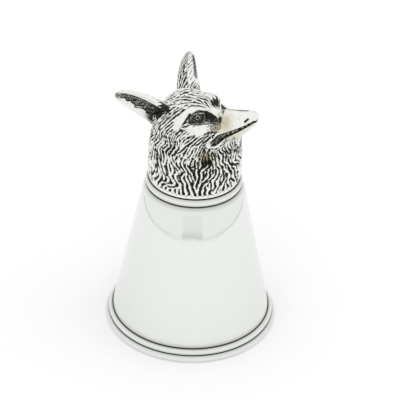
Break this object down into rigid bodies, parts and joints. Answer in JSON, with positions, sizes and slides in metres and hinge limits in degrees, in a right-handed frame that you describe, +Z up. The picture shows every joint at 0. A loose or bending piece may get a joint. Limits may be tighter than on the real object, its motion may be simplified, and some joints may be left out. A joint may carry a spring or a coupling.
{
  "type": "hunting cup",
  "caption": "Silver hunting cup: a tapered cup that stands on its moulded rim, closed by a collar and a cast fox head with cupped ears and an open mouth.",
  "frame": {"origin": "centre of the rim's resting plane, on the cup's axis", "axes": "+Z up along the cup's axis, the fox looks along -Y and its left side is +X"},
  "size_m": [0.079, 0.079, 0.1205],
  "materials": {
    "polished_silver": "spun and drawn silver, polished bright, soft hairlines from wiping",
    "oxidised_silver": "cast and chased silver, ridges polished bright and grooves oxidised nearly black"
  },
  "bodies": {
    "root": {"cup_body": "polished_silver", "rim_lower_wire": "polished_silver", "rim_upper_wire": "polished_silver", "neck_collar": "polished_silver", "head_left_half": "oxidised_silver", "head_right_half": "oxidised_silver", "ear_left": "oxidised_silver", "ear_right": "oxidised_silver"}
  },
  "joints": []
}
